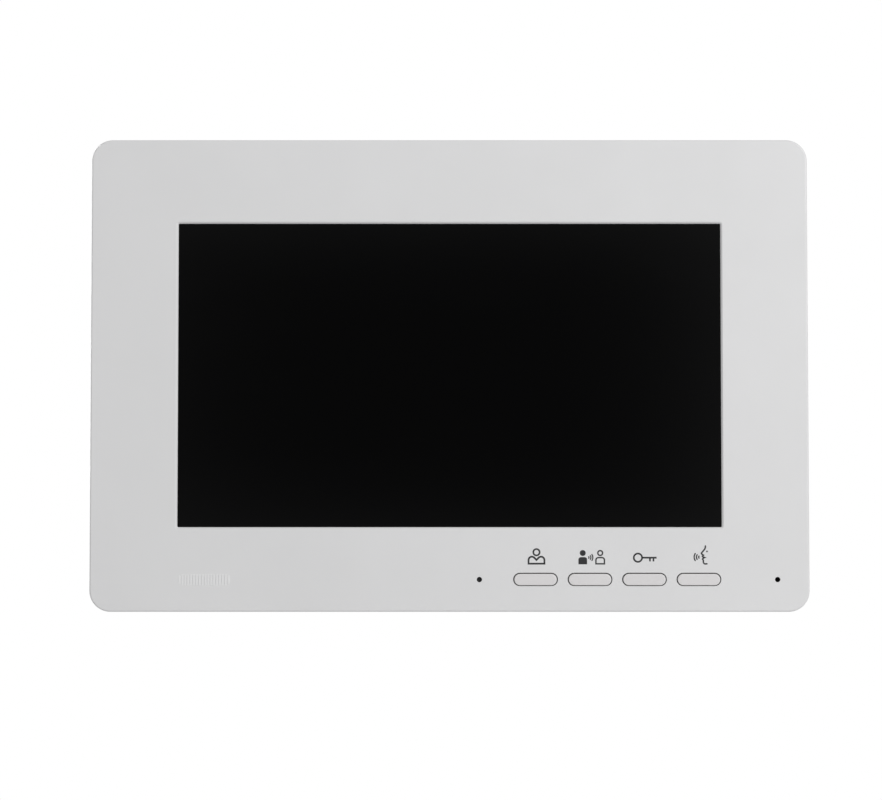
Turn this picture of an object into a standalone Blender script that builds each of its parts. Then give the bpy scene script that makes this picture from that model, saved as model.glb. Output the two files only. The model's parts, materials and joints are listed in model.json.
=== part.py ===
"""Video intercom monitor: seven-inch screen and four keys in a white two-part case, on a steel bracket.

Metres, +Z up. The front faces -Y, the wall is the plane y = 0, and the origin is the middle of the
bracket's back, which is also the middle of the case seen from the front.
"""

import math

import bmesh
import bpy

MM = 0.001
GAP = 0.3 * MM

# Case, seen from the front
BODY_WIDTH = 205.0 * MM
BODY_HEIGHT = 135.0 * MM
BODY_CORNER = 6.0 * MM
WINDOW_WIDTH = 155.2 * MM
WINDOW_HEIGHT = 86.9 * MM
WALL = 2.2 * MM
SHELL = 2.0 * MM
FACE_EDGE = 0.8 * MM
WINDOW_CORNER = 0.3 * MM
WINDOW_CHAMFER = 1.5 * MM
WINDOW_CHAMFER_DEPTH = 0.5 * MM

# Planes from front to back
FRONT = -25.0 * MM
FACE_INNER = FRONT + WALL
FRONT_COVER_BACK = -11.6 * MM
REAR_INNER = -3.6 * MM
REAR_OUTER = -1.6 * MM
RIM = -0.6 * MM
RECESS_INNER = -5.6 * MM
RECESS_OUTER = -3.6 * MM
POCKET_INNER = -13.4 * MM
POCKET_FLOOR = -11.6 * MM
PLATE = 1.2 * MM

# Rear cover
REAR_WIDTH = 194.0 * MM
REAR_HEIGHT = 124.0 * MM
REAR_CORNER = 5.0 * MM
FLANGE = 1.8 * MM
RECESS_HALF_WIDTH = 59.5 * MM
RECESS_LOW = -58.5 * MM
RECESS_HIGH = 42.5 * MM
VENT_COUNT = 18
VENT_PITCH = 6.0 * MM
VENT_WIDTH = 2.0 * MM
VENT_HEIGHT = 9.0 * MM
VENT_Z = 51.0 * MM
POCKET_HALF_WIDTH = 36.0 * MM
POCKET_LOW = -52.2 * MM
POCKET_HIGH = -27.0 * MM
POCKET_WALL = 1.8 * MM

# Keys, their board and the two small holes
KEY_NAMES = ("monitor", "intercom", "unlock", "talk")
KEY_FIRST_X = 24.5 * MM
KEY_PITCH = 15.5 * MM
KEY_Z = -58.35 * MM
KEY_WIDTH = 12.1 * MM
KEY_HEIGHT = 3.25 * MM
KEY_PROUD = 0.15 * MM
KEY_FLANGE = 0.95 * MM
BUTTON_BOARD_FRONT = -15.5 * MM
BOARD = 1.6 * MM
SWITCH_SIDE = 6.0 * MM
SWITCH_DEPTH = 3.5 * MM
PLUNGER_RADIUS = 1.7 * MM
LED_X = 8.5 * MM
MICROPHONE_X = 93.4 * MM
PINHOLE_RADIUS = 0.75 * MM
PIPE_RADIUS = 1.8 * MM
BUTTON_SCREW_X = (14.0 * MM, 83.0 * MM)
BUTTON_SCREW_Z = -57.0 * MM
BUTTON_BOARD_X = (3.0 * MM, 98.0 * MM)
BUTTON_BOARD_Z = (-64.3 * MM, -51.0 * MM)

# Sound grille of upright ribs with hairline slots in a thinned wall, and the loudspeaker
RIB_COUNT = 18
RIB_PITCH = 0.82 * MM
RIB_WIDTH = 0.5 * MM
RIB_PROUD = 0.1 * MM
RIB_CORNER = 0.15 * MM
SLOT_WIDTH = 0.12 * MM
GRILLE_HEIGHT = 3.3 * MM
GRILLE_WALL = 0.6 * MM
GRILLE_LENGTH = 15.1 * MM
SPEAKER_X = -69.85 * MM
SPEAKER_Z = -58.4 * MM
SPEAKER_WIDTH = 28.0 * MM
SPEAKER_HEIGHT = 13.0 * MM

# Screws and the posts they go into: radii of post, pilot bore and clearance hole
CASE_POST = (3.5 * MM, 1.8 * MM)
CLAMP_POST = (3.2 * MM, 1.4 * MM)
BUTTON_POST = (2.4 * MM, 1.3 * MM)
MAIN_POST = (3.0 * MM, 1.4 * MM)
CASE_SCREWS = ((-90.5, 55.5), (90.5, 55.5), (-90.5, -44.0), (90.5, -44.0))
CASE_SCREW_SEAT = -5.0 * MM

# Screen: lens in its rebate, foam ring and module
LENS_WIDTH = 161.4 * MM
LENS_HEIGHT = 93.0 * MM
LENS_FRONT = FRONT + 1.2 * MM
LENS_BACK = LENS_FRONT + 1.5 * MM
GASKET_EDGE = 0.7 * MM
VIEW_WIDTH = 156.6 * MM
VIEW_HEIGHT = 88.4 * MM
MODULE_WIDTH = 165.0 * MM
MODULE_HEIGHT = 100.0 * MM
MODULE_FRONT = -20.7 * MM
MODULE_BACK = -15.5 * MM
SHEET = 0.6 * MM
GLASS = 1.1 * MM
MODULE_PLAY = 0.9 * MM
CLAMP_X = (79.0 * MM, 91.0 * MM)
CLAMP_HALF_HEIGHT = 20.0 * MM
CLAMP_SCREW_X = 87.5 * MM

# Main board
MAIN_BOARD_FRONT = -12.2 * MM
MAIN_BOARD_BACK = MAIN_BOARD_FRONT + BOARD
MAIN_BOARD_X = (-86.0 * MM, 94.5 * MM)
MAIN_BOARD_Z = (-22.0 * MM, 50.0 * MM)
MAIN_SCREWS = ((-78.0, 44.0), (78.0, 44.0), (-78.0, -16.0), (78.0, -16.0))
HEADERS = (("door_1_header", -26.0, 4), ("door_2_header", -9.0, 4), ("extension_header", 8.0, 4),
           ("power_header", 23.0, 2))
HEADER_PITCH = 2.5 * MM
HEADER_MARGIN = 2.4 * MM
HEADER_LENGTH = 7.5 * MM

# Thumbwheels on the right-hand side
WHEELS = (("volume", 30.0), ("brightness", 12.0), ("colour", -6.0))
WHEEL_X = 91.6 * MM
WHEEL_RADIUS = 6.6 * MM
WHEEL_FRONT = -7.7 * MM
WHEEL_BACK = -5.2 * MM
WHEEL_RIDGES = 30
WHEEL_RIDGE_DEPTH = 0.35 * MM
WHEEL_SLOT_REACH = 6.2 * MM
SHAFT_RADIUS = 1.2 * MM

# Bracket
PLATE_HALF_WIDTH = 56.0 * MM
PLATE_LOW = -53.4 * MM
PLATE_HIGH = 40.0 * MM
CABLE_HALF_WIDTH = 30.0 * MM
CABLE_LOW = -48.5 * MM
CABLE_HIGH = -27.5 * MM
HOOKS = ((-46.0, 26.0), (46.0, 26.0), (-46.0, -20.0), (46.0, -20.0))
HOOK_WIDTH = 8.0 * MM
HOOK_RISE = 5.0 * MM
HOOK_SLOT_DROP = 8.0 * MM
WALL_SCREW_SPACING = 60.0 * MM
WALL_SLOT_Z = 6.0 * MM
WALL_HOLES = ((30.0, 33.0), (46.0, -44.0))
WALL_HOLE_RADIUS = 2.2 * MM

WHITE_CASE = ((0.80, 0.80, 0.80), 0.35, 0.0)
WHITE_KEY = ((0.76, 0.75, 0.75), 0.4, 0.0)
BLACK_GLOSS = ((0.01, 0.01, 0.011), 0.08, 0.0)
BLACK_PLASTIC = ((0.03, 0.03, 0.03), 0.5, 0.0)
BLACK_FOAM = ((0.02, 0.02, 0.02), 0.95, 0.0)
ZINC_STEEL = ((0.62, 0.62, 0.6), 0.4, 1.0)
BOARD_GREEN = ((0.02, 0.15, 0.06), 0.4, 0.0)
NYLON_WHITE = ((0.78, 0.76, 0.7), 0.5, 0.0)
LED_RED = ((0.5, 0.03, 0.02), 0.2, 0.0)
CLEAR = ((0.75, 0.78, 0.78), 0.1, 0.0)
ALUMINIUM = ((0.7, 0.7, 0.71), 0.35, 1.0)
LABEL_SILVER = ((0.68, 0.69, 0.7), 0.5, 0.0)
FILM_BROWN = ((0.35, 0.2, 0.06), 0.35, 0.0)


def finish(item, look):
    """Gives an object its own material and smooth shading with sharp edges kept."""
    colour, roughness, metallic = look
    material = bpy.data.materials.new(item.name)
    material.use_nodes = True
    shader = material.node_tree.nodes["Principled BSDF"]
    shader.inputs["Base Color"].default_value = (*colour, 1.0)
    shader.inputs["Roughness"].default_value = roughness
    shader.inputs["Metallic"].default_value = metallic
    item.data.materials.clear()
    item.data.materials.append(material)
    item.data.shade_smooth()
    item.data.set_sharp_from_angle(angle=math.radians(32))
    return item


def rounded(width, height, radius, centre=(0.0, 0.0), steps=8):
    """Outline of a rounded rectangle in X and Z; radius half of a side gives a round end or a circle."""
    points = []
    for corner in range(4):
        side_x = 1 if corner in (0, 3) else -1
        side_z = 1 if corner in (0, 1) else -1
        for step in range(steps + 1):
            angle = math.pi / 2 * (corner + step / steps)
            x = centre[0] + side_x * (width / 2 - radius) + radius * math.cos(angle)
            z = centre[1] + side_z * (height / 2 - radius) + radius * math.sin(angle)
            if not points or math.dist(points[-1], (x, z)) > 1e-7:
                points.append((x, z))
    if math.dist(points[0], points[-1]) < 1e-7:
        points.pop()
    return points


def circle(radius, centre, steps=4):
    return rounded(2 * radius, 2 * radius, radius, centre, steps)


def body_outline(inset):
    return rounded(BODY_WIDTH - 2 * inset, BODY_HEIGHT - 2 * inset, BODY_CORNER - inset)


def loft(name, sections, ring=False):
    """Solid through (outline, y) sections with equal point counts, capped, or closed on itself as a ring."""
    shape = bmesh.new()
    loops = [[shape.verts.new((x, y, z)) for x, z in points] for points, y in sections]
    pairs = list(zip(loops, loops[1:]))
    if ring:
        pairs.append((loops[-1], loops[0]))
    else:
        shape.faces.new(loops[0])
        shape.faces.new(loops[-1])
    for first, second in pairs:
        for index in range(len(first)):
            after = (index + 1) % len(first)
            shape.faces.new((first[index], first[after], second[after], second[index]))
    bmesh.ops.recalc_face_normals(shape, faces=shape.faces)
    mesh = bpy.data.meshes.new(name)
    shape.to_mesh(mesh)
    shape.free()
    item = bpy.data.objects.new(name, mesh)
    bpy.context.scene.collection.objects.link(item)
    return item


def prism(name, points, front, back):
    return loft(name, [(points, front), (points, back)])


def box(name, low, high):
    points = [(high[0], high[2]), (low[0], high[2]), (low[0], low[2]), (high[0], low[2])]
    return prism(name, points, low[1], high[1])


def turned(name, centre, profile, steps=4):
    """Solid of revolution about Y through centre; profile is (radius, y) from front to back."""
    return loft(name, [(circle(radius, centre, steps), y) for radius, y in profile])


def strip(name, path, thickness, x_low, x_high):
    """Flat lead of even thickness along a path of (y, z) points."""
    sides = ([], [])
    for index, point in enumerate(path):
        before = path[max(index - 1, 0)]
        after = path[min(index + 1, len(path) - 1)]
        run = math.dist(before, after)
        normal = ((after[1] - before[1]) / run, (before[0] - after[0]) / run)
        for side, sign in zip(sides, (1, -1)):
            offset = sign * thickness / 2
            side.append((point[0] + normal[0] * offset, point[1] + normal[1] * offset))
    shape = bmesh.new()
    ends = []
    for x in (x_low, x_high):
        ends.append([shape.verts.new((x, y, z)) for y, z in sides[0] + sides[1][::-1]])
        shape.faces.new(ends[-1])
    for index in range(len(ends[0])):
        after = (index + 1) % len(ends[0])
        shape.faces.new((ends[0][index], ends[0][after], ends[1][after], ends[1][index]))
    bmesh.ops.recalc_face_normals(shape, faces=shape.faces)
    mesh = bpy.data.meshes.new(name)
    shape.to_mesh(mesh)
    shape.free()
    item = bpy.data.objects.new(name, mesh)
    bpy.context.scene.collection.objects.link(item)
    return item


def combine(item, tools, operation):
    """Fuses the tools to item (UNION) or cuts them out of it (DIFFERENCE); the tools are used up."""
    for tool in tools:
        modifier = item.modifiers.new(tool.name, "BOOLEAN")
        modifier.operation = operation
        modifier.object = tool
    evaluated = item.evaluated_get(bpy.context.evaluated_depsgraph_get())
    mesh = bpy.data.meshes.new_from_object(evaluated)
    item.modifiers.clear()
    item.data = mesh
    for tool in tools:
        bpy.data.objects.remove(tool)
    return item


def set_origin(item, origin):
    """Moves an object's origin onto its joint axis without moving its shape."""
    for vertex in item.data.vertices:
        for axis in range(3):
            vertex.co[axis] -= origin[axis]
    item.location = origin


def key_x(index):
    return KEY_FIRST_X + index * KEY_PITCH


def post(name, centre, radius, front, back):
    return prism(name, circle(radius, centre), front, back)


def scaled(pairs):
    """Millimetre pairs as metres."""
    return [(a * MM, b * MM) for a, b in pairs]


def front_cover():
    """White front: face with the screen window, keys and sound slots, side walls and screw posts."""
    inner = BODY_WIDTH - 2 * WALL, BODY_HEIGHT - 2 * WALL, BODY_CORNER - WALL
    sections = []
    for step in range(4):
        angle = math.pi / 2 * step / 3
        inset = FACE_EDGE * (1 - math.sin(angle))
        sections.append((body_outline(inset), FRONT + FACE_EDGE * (1 - math.cos(angle))))
    sections.append((body_outline(0.0), FRONT_COVER_BACK))
    sections.append((rounded(*inner), FRONT_COVER_BACK))
    sections.append((rounded(*inner), FACE_INNER))
    cover = loft("front_cover", sections)

    sunk = FACE_INNER - 0.4 * MM
    posts = [post("case_post", centre, CASE_POST[0], sunk, -8.3 * MM) for centre in scaled(CASE_SCREWS)]
    for side in (-1, 1):
        posts.append(post("clamp_post", (side * CLAMP_SCREW_X, 0.0), CLAMP_POST[0], sunk, MODULE_BACK))
    for x in BUTTON_SCREW_X:
        posts.append(post("board_post", (x, BUTTON_SCREW_Z), BUTTON_POST[0], sunk, BUTTON_BOARD_FRONT - GAP))
    combine(cover, posts + sound_ribs(), "UNION")

    ahead = FRONT - MM
    within = FACE_INNER + MM
    window = rounded(WINDOW_WIDTH, WINDOW_HEIGHT, WINDOW_CORNER, steps=1)
    wide = rounded(WINDOW_WIDTH + 2 * WINDOW_CHAMFER, WINDOW_HEIGHT + 2 * WINDOW_CHAMFER,
                   WINDOW_CORNER + WINDOW_CHAMFER, steps=1)
    cuts = [loft("window", [(wide, ahead), (window, FRONT + WINDOW_CHAMFER_DEPTH), (window, within)])]
    rebate = rounded(LENS_WIDTH + 2 * GAP, LENS_HEIGHT + 2 * GAP, 0.5 * MM, steps=1)
    cuts.append(prism("lens_rebate", rebate, LENS_FRONT - GAP, within))
    for index in range(len(KEY_NAMES)):
        width, height = KEY_WIDTH + 2 * GAP, KEY_HEIGHT + 2 * GAP
        hole = rounded(width, height, height / 2, (key_x(index), KEY_Z), 4)
        cuts.append(prism("key_hole", hole, ahead, within))
    for x in (LED_X, MICROPHONE_X):
        cuts.append(post("pinhole", (x, KEY_Z), PINHOLE_RADIUS, ahead, within))
    cuts.append(post("led_seat", (LED_X, KEY_Z), PIPE_RADIUS + GAP, FRONT + 0.8 * MM, within))
    cuts.append(post("sound_channel", (MICROPHONE_X, KEY_Z), 1.2 * MM, FRONT + GRILLE_WALL, within))
    chamber = rounded(GRILLE_LENGTH + 2.4 * MM, GRILLE_HEIGHT + 2.3 * MM, MM, (SPEAKER_X, SPEAKER_Z), 2)
    cuts.append(prism("sound_chamber", chamber, FRONT + GRILLE_WALL, within))
    cuts.extend(sound_slots())
    for centre in scaled(CASE_SCREWS):
        cuts.append(post("case_bore", centre, CASE_POST[1], -14.6 * MM, -7.0 * MM))
    for side in (-1, 1):
        cuts.append(post("clamp_bore", (side * CLAMP_SCREW_X, 0.0), CLAMP_POST[1], -19.2 * MM, -14.0 * MM))
    for x in BUTTON_SCREW_X:
        cuts.append(post("board_bore", (x, BUTTON_SCREW_Z), BUTTON_POST[1], -20.5 * MM, -15.0 * MM))
    finish(combine(cover, cuts, "DIFFERENCE"), WHITE_CASE)


def grille_height(offset):
    """Height of the sound grille at a distance from its middle; its ends are round."""
    end_radius = GRILLE_HEIGHT / 2
    straight = GRILLE_LENGTH / 2 - end_radius
    return 2 * math.sqrt(end_radius ** 2 - max(0.0, abs(offset) - straight) ** 2)


def sound_ribs():
    """Upright ribs that stand a little proud of the face."""
    ribs = []
    for index in range(RIB_COUNT):
        offset = (index - (RIB_COUNT - 1) / 2) * RIB_PITCH
        centre = (SPEAKER_X + offset, SPEAKER_Z)
        rib = rounded(RIB_WIDTH, grille_height(offset), RIB_CORNER, centre, 1)
        ribs.append(prism("sound_rib", rib, FRONT - RIB_PROUD, FRONT + GRILLE_WALL / 2))
    return ribs


def sound_slots():
    """Cutters of the hairline slots between the ribs."""
    slots = []
    for index in range(RIB_COUNT - 1):
        offset = (index - (RIB_COUNT - 2) / 2) * RIB_PITCH
        low = SPEAKER_Z - grille_height(offset) / 2 + SLOT_WIDTH
        high = SPEAKER_Z + grille_height(offset) / 2 - SLOT_WIDTH
        x = SPEAKER_X + offset
        slots.append(box("sound_slot", (x - SLOT_WIDTH / 2, FRONT - MM, low),
                         (x + SLOT_WIDTH / 2, FRONT + 2 * GRILLE_WALL, high)))
    return slots


def rear_cover():
    """White rear shell: flange, walls, bracket recess, terminal pocket, hook slots, vents and posts."""
    inner_width = REAR_WIDTH - 2 * SHELL
    inner_height = REAR_HEIGHT - 2 * SHELL
    inner = rounded(inner_width, inner_height, REAR_CORNER - SHELL)
    play = WALL + GAP
    flange = rounded(BODY_WIDTH - 2 * play, BODY_HEIGHT - 2 * play, BODY_CORNER - play)
    outer = rounded(REAR_WIDTH, REAR_HEIGHT, REAR_CORNER)
    eased = rounded(REAR_WIDTH - MM, REAR_HEIGHT - MM, REAR_CORNER - 0.5 * MM)
    cover = loft("rear_cover", [
        (inner, REAR_INNER), (inner, FRONT_COVER_BACK - FLANGE), (flange, FRONT_COVER_BACK - FLANGE),
        (flange, FRONT_COVER_BACK), (outer, FRONT_COVER_BACK), (outer, RIM - 0.5 * MM), (eased, RIM),
        (inner, RIM), (inner, REAR_OUTER)])

    embed = REAR_INNER + MM
    side = SHELL + RECESS_HALF_WIDTH
    blocks = [box("recess_block", (-side, RECESS_INNER, RECESS_LOW - SHELL),
                  (side, embed, RECESS_HIGH + SHELL))]
    half = POCKET_HALF_WIDTH + POCKET_WALL
    blocks.append(box("pocket_block", (-half, POCKET_INNER, POCKET_LOW - POCKET_WALL),
                      (half, embed, POCKET_HIGH + POCKET_WALL)))
    for centre in scaled(CASE_SCREWS):
        blocks.append(post("screw_pad", centre, 5.0 * MM, -8.0 * MM, embed))
    for centre in scaled(MAIN_SCREWS):
        blocks.append(post("board_post", centre, MAIN_POST[0], MAIN_BOARD_BACK + GAP, embed))
    combine(cover, blocks, "UNION")

    behind = MM
    cuts = [box("recess", (-RECESS_HALF_WIDTH, RECESS_OUTER, RECESS_LOW),
                (RECESS_HALF_WIDTH, behind, RECESS_HIGH))]
    cuts.append(box("pocket", (-POCKET_HALF_WIDTH, POCKET_FLOOR, POCKET_LOW),
                    (POCKET_HALF_WIDTH, behind, POCKET_HIGH)))
    for name, x, pins in HEADERS:
        reach = header_half_width(pins) + GAP
        cuts.append(box(name + "_window", (x * MM - reach, MAIN_BOARD_BACK, POCKET_HIGH - MM),
                        (x * MM + reach, RECESS_INNER + 0.2 * MM, POCKET_HIGH + POCKET_WALL + MM)))
    for x, top in scaled(HOOKS):
        half = HOOK_WIDTH / 2 + 0.5 * MM
        cuts.append(box("hook_slot", (x - half, RECESS_INNER - MM, top - HOOK_SLOT_DROP),
                        (x + half, behind, top + GAP)))
    hole, sink = CASE_POST[1], 3.2 * MM
    for centre in scaled(CASE_SCREWS):
        cuts.append(turned("screw_hole", centre, [
            (hole, -9.0 * MM), (hole, CASE_SCREW_SEAT), (sink, CASE_SCREW_SEAT), (sink, behind)]))
    for centre in scaled(MAIN_SCREWS):
        cuts.append(post("board_bore", centre, MAIN_POST[1], -11.0 * MM, -6.6 * MM))
    side = REAR_WIDTH / 2
    for name, z in WHEELS:
        low, high = z * MM - WHEEL_SLOT_REACH, z * MM + WHEEL_SLOT_REACH
        cuts.append(box(name + "_slot", (side - 4 * MM, WHEEL_FRONT - GAP, low),
                        (side + 2 * MM, WHEEL_BACK + GAP, high)))
    for index in range(VENT_COUNT):
        x = (index - (VENT_COUNT - 1) / 2) * VENT_PITCH
        vent = rounded(VENT_WIDTH, VENT_HEIGHT, VENT_WIDTH / 2, (x, VENT_Z), 2)
        cuts.append(prism("vent", vent, -5.0 * MM, behind))
    finish(combine(cover, cuts, "DIFFERENCE"), WHITE_CASE)


def header_half_width(pins):
    return (pins - 1) * HEADER_PITCH / 2 + HEADER_MARGIN


def wall_bracket():
    """Folded steel plate with four upward hooks, two wall-box slots, four holes and the cable opening."""
    width, height = 2 * PLATE_HALF_WIDTH, PLATE_HIGH - PLATE_LOW
    middle = (0.0, (PLATE_HIGH + PLATE_LOW) / 2)
    plate = prism("wall_bracket", rounded(width, height, 5.0 * MM, middle, 4), -PLATE, 0.0)
    tongue_front = RECESS_INNER - GAP - PLATE
    hooks = []
    for x, top in scaled(HOOKS):
        half = HOOK_WIDTH / 2
        hooks.append(box("neck", (x - half, tongue_front, top - PLATE), (x + half, -PLATE / 2, top)))
        hooks.append(box("tongue", (x - half, tongue_front, top - PLATE / 2),
                         (x + half, tongue_front + PLATE, top + HOOK_RISE)))
    combine(plate, hooks, "UNION")
    front, back = -2 * PLATE, PLATE
    cuts = []
    for x, top in scaled(HOOKS):
        half = HOOK_WIDTH / 2 + GAP
        cuts.append(box("tongue_window", (x - half, front, top), (x + half, back, top + 9.0 * MM)))
    cable_middle = (0.0, (CABLE_HIGH + CABLE_LOW) / 2)
    cable = rounded(2 * CABLE_HALF_WIDTH, CABLE_HIGH - CABLE_LOW, 3.0 * MM, cable_middle, 3)
    cuts.append(prism("cable_opening", cable, front, back))
    for side in (-1, 1):
        slot_centre = (side * WALL_SCREW_SPACING / 2, WALL_SLOT_Z)
        slot = rounded(9.0 * MM, 2 * WALL_HOLE_RADIUS, WALL_HOLE_RADIUS, slot_centre)
        cuts.append(prism("wall_slot", slot, front, back))
        for x, z in scaled(WALL_HOLES):
            cuts.append(post("wall_hole", (side * x, z), WALL_HOLE_RADIUS, front, back))
    finish(combine(plate, cuts, "DIFFERENCE"), ZINC_STEEL)


def screen():
    """Clear lens, foam ring, and the liquid crystal module in its steel frame."""
    lens = rounded(LENS_WIDTH, LENS_HEIGHT, 0.4 * MM, steps=1)
    finish(prism("screen_lens", lens, LENS_FRONT, LENS_BACK), BLACK_GLOSS)
    gasket = rounded(LENS_WIDTH - 2 * GASKET_EDGE, LENS_HEIGHT - 2 * GASKET_EDGE, 0.5 * MM, steps=1)
    opening = rounded(VIEW_WIDTH, VIEW_HEIGHT, 0.5 * MM, steps=1)
    gasket_front = LENS_BACK + GAP
    gasket_back = MODULE_FRONT - GAP
    finish(loft("screen_gasket", [(opening, gasket_front), (gasket, gasket_front), (gasket, gasket_back),
                                  (opening, gasket_back)], ring=True), BLACK_FOAM)
    outer = rounded(MODULE_WIDTH, MODULE_HEIGHT, MM, steps=2)
    inner = rounded(MODULE_WIDTH - 2 * SHEET, MODULE_HEIGHT - 2 * SHEET, 0.4 * MM, steps=2)
    view = rounded(VIEW_WIDTH, VIEW_HEIGHT, 0.4 * MM, steps=2)
    lip_back = MODULE_FRONT + SHEET
    finish(loft("lcd_frame", [
        (view, MODULE_FRONT), (outer, MODULE_FRONT), (outer, MODULE_BACK), (inner, MODULE_BACK),
        (inner, lip_back), (view, lip_back)], ring=True), ZINC_STEEL)
    held = rounded(MODULE_WIDTH - 2 * MODULE_PLAY, MODULE_HEIGHT - 2 * MODULE_PLAY, 0.4 * MM, steps=1)
    glass_back = lip_back + GAP + GLASS
    finish(prism("lcd_glass", held, lip_back + GAP, glass_back), BLACK_GLOSS)
    finish(prism("lcd_backlight", held, glass_back + GAP, MODULE_BACK), NYLON_WHITE)


def screw(name, centre, head_radius, shank_radius, head_end, head_start, tip):
    """Round-headed screw along Y: head from head_start to head_end, shank on to tip."""
    shoulder = head_end * 0.6 + head_start * 0.4
    taper = tip * 0.9 + head_start * 0.1
    profile = [(head_radius * 0.7, head_end), (head_radius, shoulder), (head_radius, head_start),
               (shank_radius, head_start), (shank_radius, taper), (shank_radius * 0.3, tip)]
    finish(turned(name, centre, profile), ZINC_STEEL)


def clamps():
    """A steel strap and screw at each side hold the screen module to the front cover."""
    for side, word in ((-1, "left"), (1, "right")):
        x_low, x_high = sorted((side * CLAMP_X[0], side * CLAMP_X[1]))
        front = MODULE_BACK + GAP
        strap = box("lcd_clamp_" + word, (x_low, front, -CLAMP_HALF_HEIGHT),
                    (x_high, front + MM, CLAMP_HALF_HEIGHT))
        centre = (side * CLAMP_SCREW_X, 0.0)
        combine(strap, [post("hole", centre, CLAMP_POST[1], front - MM, front + 2 * MM)], "DIFFERENCE")
        finish(strap, ZINC_STEEL)
        head = front + MM + GAP
        screw("lcd_clamp_screw_" + word, centre, 2.3 * MM, 1.1 * MM, head + MM, head, -18.6 * MM)


def main_board():
    """Main circuit board with its screws, chip, capacitor and the headers that face the terminal pocket."""
    board = box("main_board", (MAIN_BOARD_X[0], MAIN_BOARD_FRONT, MAIN_BOARD_Z[0]),
                (MAIN_BOARD_X[1], MAIN_BOARD_BACK, MAIN_BOARD_Z[1]))
    holes = [post("hole", centre, MAIN_POST[1], MAIN_BOARD_FRONT - MM, MAIN_BOARD_BACK + MM)
             for centre in scaled(MAIN_SCREWS)]
    finish(combine(board, holes, "DIFFERENCE"), BOARD_GREEN)
    head = MAIN_BOARD_FRONT - GAP
    for number, centre in enumerate(scaled(MAIN_SCREWS), 1):
        screw(f"main_board_screw_{number}", centre, 2.3 * MM, 1.1 * MM, head - MM, head, -7.2 * MM)
    chip = rounded(14 * MM, 14 * MM, 0.5 * MM, (20 * MM, 20 * MM), 1)
    finish(prism("processor_chip", chip, head - 1.4 * MM, head), BLACK_PLASTIC)
    base = MAIN_BOARD_BACK + GAP
    finish(turned("buffer_capacitor", (-70 * MM, 20 * MM),
                  [(3.3 * MM, base), (3.3 * MM, base + 4.8 * MM), (2.9 * MM, base + 5.2 * MM)]), ALUMINIUM)
    for name, x, pins in HEADERS:
        header(name, x * MM, pins)


def header(name, x, pins):
    """Right-angle pin header: a shroud open downwards into the terminal pocket, with square pins."""
    half = header_half_width(pins)
    front = MAIN_BOARD_BACK + GAP
    back = RECESS_INNER - GAP
    shell = 0.9 * MM
    mouth = POCKET_HIGH
    shroud = box(name, (x - half, front, mouth), (x + half, back, mouth + HEADER_LENGTH))
    cavity = box("cavity", (x - half + shell, front + shell, mouth - MM),
                 (x + half - shell, back - shell, mouth + 5.5 * MM))
    combine(shroud, [cavity], "DIFFERENCE")
    middle = (front + back) / 2
    pin_half = 0.32 * MM
    rods = []
    for index in range(pins):
        pin_x = x + (index - (pins - 1) / 2) * HEADER_PITCH
        rods.append(box("pin", (pin_x - pin_half, middle - pin_half, mouth + MM),
                        (pin_x + pin_half, middle + pin_half, mouth + 6.5 * MM)))
    finish(combine(shroud, rods, "UNION"), NYLON_WHITE)


def button_board():
    """Key board behind the lower edge, with four push switches and its two screws."""
    front, back = BUTTON_BOARD_FRONT, BUTTON_BOARD_FRONT + BOARD
    board = box("button_board", (BUTTON_BOARD_X[0], front, BUTTON_BOARD_Z[0]),
                (BUTTON_BOARD_X[1], back, BUTTON_BOARD_Z[1]))
    holes = [post("hole", (x, BUTTON_SCREW_Z), BUTTON_POST[1], front - MM, back + MM) for x in BUTTON_SCREW_X]
    finish(combine(board, holes, "DIFFERENCE"), BOARD_GREEN)
    for number, x in enumerate(BUTTON_SCREW_X, 1):
        head = back + GAP
        screw(f"button_board_screw_{number}", (x, BUTTON_SCREW_Z), 2.2 * MM, MM, head + MM, head, -19.8 * MM)


def keys():
    """Four key caps, each pressing the plunger of its own switch."""
    face = FRONT - KEY_PROUD
    flange = FACE_INNER + GAP
    stem_back = flange + 2.1 * MM
    for index, word in enumerate(KEY_NAMES):
        centre = (key_x(index), KEY_Z)
        half = KEY_HEIGHT / 2
        rim = rounded(KEY_WIDTH, KEY_HEIGHT, half, centre, 4)
        eased = rounded(KEY_WIDTH - 0.5 * MM, KEY_HEIGHT - 0.5 * MM, half - 0.25 * MM, centre, 4)
        wide = rounded(KEY_WIDTH + 2 * KEY_FLANGE, KEY_HEIGHT + 2 * KEY_FLANGE, half + KEY_FLANGE, centre, 4)
        stem = rounded(3.0 * MM, 3.0 * MM, 1.5 * MM - 1e-6, centre, 4)
        cap = loft(word + "_button", [(eased, face), (rim, face + 0.25 * MM), (rim, flange), (wide, flange),
                                      (wide, flange + MM)])
        combine(cap, [prism("stem", stem, flange + 0.5 * MM, stem_back)], "UNION")
        set_origin(cap, (centre[0], flange, centre[1]))
        finish(cap, WHITE_KEY)

        body_front = BUTTON_BOARD_FRONT - GAP - SWITCH_DEPTH
        bore = PLUNGER_RADIUS + GAP
        side = rounded(SWITCH_SIDE, SWITCH_SIDE, 0.4 * MM, centre, 1)
        switch = prism(word + "_switch", side, body_front, body_front + SWITCH_DEPTH)
        combine(switch, [post("bore", centre, bore, body_front - MM, body_front + 2.2 * MM)], "DIFFERENCE")
        finish(switch, BLACK_PLASTIC)
        plunger = turned(word + "_switch_plunger", centre, [
            (PLUNGER_RADIUS, stem_back + GAP), (PLUNGER_RADIUS, body_front + 1.2 * MM)])
        set_origin(plunger, (centre[0], stem_back + GAP, centre[1]))
        finish(plunger, NYLON_WHITE)


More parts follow.
